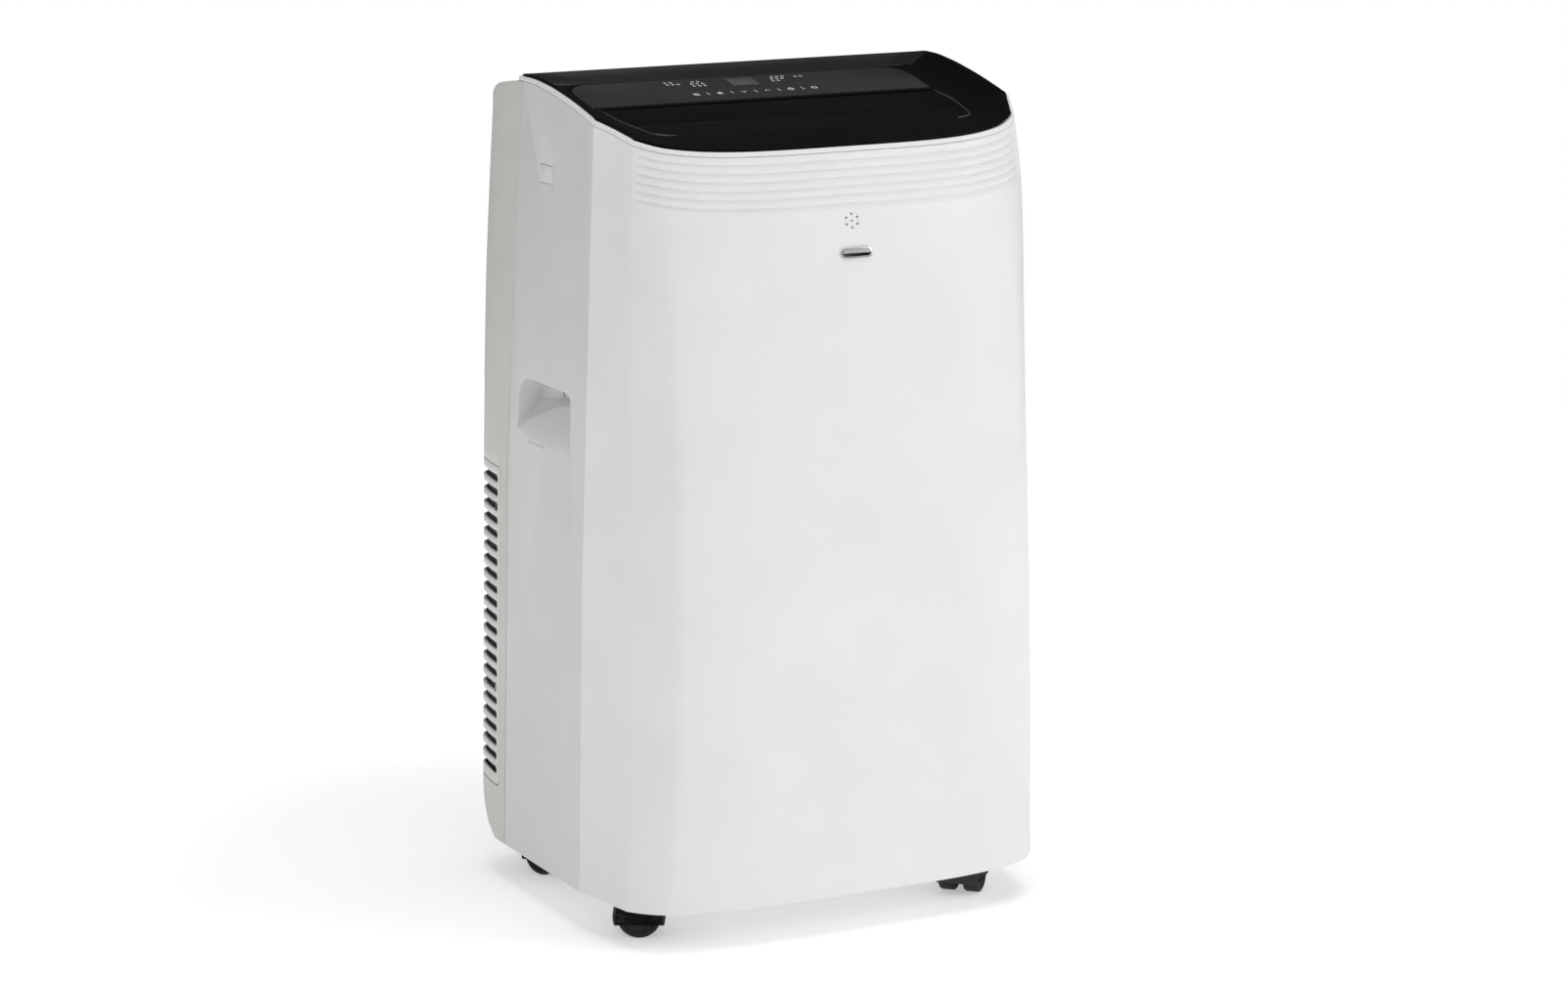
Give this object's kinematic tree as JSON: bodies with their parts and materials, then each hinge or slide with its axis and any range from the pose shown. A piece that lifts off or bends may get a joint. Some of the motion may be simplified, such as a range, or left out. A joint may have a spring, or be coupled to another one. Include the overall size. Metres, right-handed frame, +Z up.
{
  "type": "portable air conditioner",
  "caption": "Floor-standing air conditioner with a dished black top, flap outlet, wrap-round rear grille, handle recesses and swivel casters.",
  "frame": {"origin": "on the floor, under the middle of the casing's box", "axes": "+Z up; -Y towards the plain front cover; +X towards the object's own left-hand side, to the right as seen from the front"},
  "size_m": [0.444, 0.39, 0.764],
  "materials": {
    "white_cover": "fine satin, moulded white ABS",
    "grille_plastic": "fine satin, moulded light grey ABS",
    "black_top": "satin black ABS",
    "black_gloss": "gloss black film over moulded plastic",
    "window": "smoked clear window, gloss",
    "badge_metal": "satin chrome plating",
    "caster_black": "black nylon",
    "inner_black": "black moulded polypropylene",
    "inner_grey": "grey moulded plastic",
    "motor_steel": "zinc-plated pressed steel",
    "vessel_black": "semi-gloss black paint on steel",
    "fin_aluminium": "bare aluminium fins",
    "copper_pipe": "bare copper pipe",
    "board_green": "solder-resist green"
  },
  "bodies": {
    "casing": {"accumulator": "vessel_black", "badge": "badge_metal", "base_pan": "inner_grey", "compressor": "vessel_black", "condenser_coil": "fin_aluminium", "condenser_motor": "motor_steel", "condenser_volute": "inner_black", "control_board": "board_green", "control_panel": "black_gloss", "cord_gland": "caster_black", "discharge_pipe": "copper_pipe", "display_window": "window", "door_motor": "motor_steel", "electrical_box": "inner_grey", "evaporator_coil": "fin_aluminium", "evaporator_motor": "motor_steel", "evaporator_volute": "inner_black", "exhaust_collar": "grille_plastic", "exhaust_duct": "inner_black", "front_cover": "white_cover", "ir_receiver": "black_gloss", "left_side_cap": "white_cover", "left_side_panel": "white_cover", "lower_grille": "grille_plastic", "outlet_duct": "black_top", "partition_tray": "inner_black", "rear_cover": "white_cover", "right_side_cap": "white_cover", "right_side_panel": "white_cover", "run_capacitor": "fin_aluminium", "suction_pipe": "copper_pipe", "top_cover": "black_top", "top_rim": "white_cover", "upper_grille": "grille_plastic"},
    "air_filter": {"air_filter": "inner_black"},
    "condenser_blower_wheel": {"condenser_blower_wheel": "inner_black"},
    "evaporator_blower_wheel": {"evaporator_blower_wheel": "inner_black"},
    "front_left_caster_hood": {"front_left_caster_hood": "caster_black"},
    "front_left_wheel_a": {"front_left_wheel_a": "caster_black"},
    "front_left_wheel_b": {"front_left_wheel_b": "caster_black"},
    "front_right_caster_hood": {"front_right_caster_hood": "caster_black"},
    "front_right_wheel_a": {"front_right_wheel_a": "caster_black"},
    "front_right_wheel_b": {"front_right_wheel_b": "caster_black"},
    "lower_drain_cap": {"lower_drain_cap": "grille_plastic"},
    "outlet_door": {"outlet_door": "black_top"},
    "rear_left_caster_hood": {"rear_left_caster_hood": "caster_black"},
    "rear_left_wheel_a": {"rear_left_wheel_a": "caster_black"},
    "rear_left_wheel_b": {"rear_left_wheel_b": "caster_black"},
    "rear_right_caster_hood": {"rear_right_caster_hood": "caster_black"},
    "rear_right_wheel_a": {"rear_right_wheel_a": "caster_black"},
    "rear_right_wheel_b": {"rear_right_wheel_b": "caster_black"},
    "upper_drain_cap": {"upper_drain_cap": "grille_plastic"},
    "vane_1": {"vane_1": "black_top"},
    "vane_2": {"vane_2": "black_top"},
    "vane_3": {"vane_3": "black_top"},
    "vane_4": {"vane_4": "black_top"},
    "vane_5": {"vane_5": "black_top"},
    "vane_6": {"vane_6": "black_top"},
    "vane_link": {"vane_link": "black_top"}
  },
  "joints": [
    {"name": "outlet_door_hinge", "type": "hinge", "parent": "casing", "child": "outlet_door", "pos_m": [0, -0.0083, 0.7355], "axis": [-1, 0, 0], "range_deg": [0, 70]},
    {"name": "vane_1_pivot", "type": "hinge", "parent": "casing", "child": "vane_1", "pos_m": [-0.13, -0.038, 0.7025], "axis": [0, 0, 1], "range_deg": [-40, 40]},
    {"name": "vane_2_pivot", "type": "hinge", "parent": "casing", "child": "vane_2", "pos_m": [-0.078, -0.038, 0.7025], "axis": [0, 0, 1], "range_deg": [-40, 40]},
    {"name": "vane_3_pivot", "type": "hinge", "parent": "casing", "child": "vane_3", "pos_m": [-0.026, -0.038, 0.7025], "axis": [0, 0, 1], "range_deg": [-40, 40]},
    {"name": "vane_4_pivot", "type": "hinge", "parent": "casing", "child": "vane_4", "pos_m": [0.026, -0.038, 0.7025], "axis": [0, 0, 1], "range_deg": [-40, 40]},
    {"name": "vane_5_pivot", "type": "hinge", "parent": "casing", "child": "vane_5", "pos_m": [0.078, -0.038, 0.7025], "axis": [0, 0, 1], "range_deg": [-40, 40]},
    {"name": "vane_6_pivot", "type": "hinge", "parent": "casing", "child": "vane_6", "pos_m": [0.13, -0.038, 0.7025], "axis": [0, 0, 1], "range_deg": [-40, 40]},
    {"name": "vane_link_pivot", "type": "hinge", "parent": "vane_1", "child": "vane_link", "pos_m": [-0.13, -0.052, 0.6875], "axis": [0, 0, 1], "range_deg": [-40, 40]},
    {"name": "evaporator_blower_spin", "type": "hinge", "parent": "casing", "child": "evaporator_blower_wheel", "pos_m": [0, -0.04, 0.56], "axis": [0, 1, 0], "continuous": true},
    {"name": "condenser_blower_spin", "type": "hinge", "parent": "casing", "child": "condenser_blower_wheel", "pos_m": [0.02, 0.08, 0.225], "axis": [0, 1, 0], "continuous": true},
    {"name": "air_filter_slide", "type": "slide", "parent": "casing", "child": "air_filter", "axis": [0, 0, 1], "range_m": [0, 0.17]},
    {"name": "lower_drain_cap_pull", "type": "slide", "parent": "casing", "child": "lower_drain_cap", "axis": [0, 1, 0], "range_m": [0, 0.03]},
    {"name": "upper_drain_cap_pull", "type": "slide", "parent": "casing", "child": "upper_drain_cap", "axis": [0, 1, 0], "range_m": [0, 0.03]},
    {"name": "front_left_swivel", "type": "hinge", "parent": "casing", "child": "front_left_caster_hood", "pos_m": [-0.16, -0.098, 0.045], "axis": [0, 0, 1], "continuous": true},
    {"name": "front_left_wheel_a_roll", "type": "hinge", "parent": "front_left_caster_hood", "child": "front_left_wheel_a", "pos_m": [-0.17515, -0.09028, 0.02], "axis": [-0.454, -0.891, 0], "continuous": true},
    {"name": "front_left_wheel_b_roll", "type": "hinge", "parent": "front_left_caster_hood", "child": "front_left_wheel_b", "pos_m": [-0.17515, -0.09028, 0.02], "axis": [-0.454, -0.891, 0], "continuous": true},
    {"name": "front_right_swivel", "type": "hinge", "parent": "casing", "child": "front_right_caster_hood", "pos_m": [0.16, -0.098, 0.045], "axis": [0, 0, 1], "continuous": true},
    {"name": "front_right_wheel_a_roll", "type": "hinge", "parent": "front_right_caster_hood", "child": "front_right_wheel_a", "pos_m": [0.14819, -0.11023, 0.02], "axis": [0.7193, -0.6947, 0], "continuous": true},
    {"name": "front_right_wheel_b_roll", "type": "hinge", "parent": "front_right_caster_hood", "child": "front_right_wheel_b", "pos_m": [0.14819, -0.11023, 0.02], "axis": [0.7193, -0.6947, 0], "continuous": true},
    {"name": "rear_left_swivel", "type": "hinge", "parent": "casing", "child": "rear_left_caster_hood", "pos_m": [-0.16, 0.104, 0.045], "axis": [0, 0, 1], "continuous": true},
    {"name": "rear_left_wheel_a_roll", "type": "hinge", "parent": "rear_left_caster_hood", "child": "rear_left_wheel_a", "pos_m": [-0.16719, 0.11941, 0.02], "axis": [-0.9063, -0.4226, 0], "continuous": true},
    {"name": "rear_left_wheel_b_roll", "type": "hinge", "parent": "rear_left_caster_hood", "child": "rear_left_wheel_b", "pos_m": [-0.16719, 0.11941, 0.02], "axis": [-0.9063, -0.4226, 0], "continuous": true},
    {"name": "rear_right_swivel", "type": "hinge", "parent": "casing", "child": "rear_right_caster_hood", "pos_m": [0.16, 0.104, 0.045], "axis": [0, 0, 1], "continuous": true},
    {"name": "rear_right_wheel_a_roll", "type": "hinge", "parent": "rear_right_caster_hood", "child": "rear_right_wheel_a", "pos_m": [0.1644, 0.12042, 0.02], "axis": [-0.9659, 0.2588, 0], "continuous": true},
    {"name": "rear_right_wheel_b_roll", "type": "hinge", "parent": "rear_right_caster_hood", "child": "rear_right_wheel_b", "pos_m": [0.1644, 0.12042, 0.02], "axis": [-0.9659, 0.2588, 0], "continuous": true}
  ],
  "couplings": [
    {"joint": "vane_2_pivot", "follows": "vane_1_pivot", "ratio": 1},
    {"joint": "vane_3_pivot", "follows": "vane_1_pivot", "ratio": 1},
    {"joint": "vane_4_pivot", "follows": "vane_1_pivot", "ratio": 1},
    {"joint": "vane_5_pivot", "follows": "vane_1_pivot", "ratio": 1},
    {"joint": "vane_6_pivot", "follows": "vane_1_pivot", "ratio": 1},
    {"joint": "vane_link_pivot", "follows": "vane_1_pivot", "ratio": -1}
  ]
}
